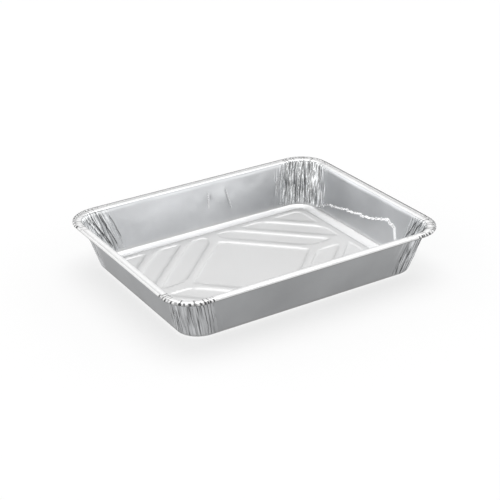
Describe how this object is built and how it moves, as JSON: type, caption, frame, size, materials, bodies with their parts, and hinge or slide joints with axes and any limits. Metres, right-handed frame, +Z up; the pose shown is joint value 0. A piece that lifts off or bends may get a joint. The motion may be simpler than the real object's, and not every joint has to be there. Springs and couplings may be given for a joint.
{
  "type": "aluminium foil tray",
  "caption": "Rectangular aluminium foil tray with sloping walls, gathered corners, an embossed floor and a rolled rim.",
  "frame": {"origin": "centre of the foot, on the plane that the tray stands on", "axes": "+X along the long side, +Y along the short side, +Z up out of the tray"},
  "size_m": [0.32, 0.26, 0.052],
  "materials": {
    "foil": "bright rolled aluminium foil, satin on the floor, creased and wrinkled in the corners"
  },
  "bodies": {
    "root": {"tray": "foil"}
  },
  "joints": []
}
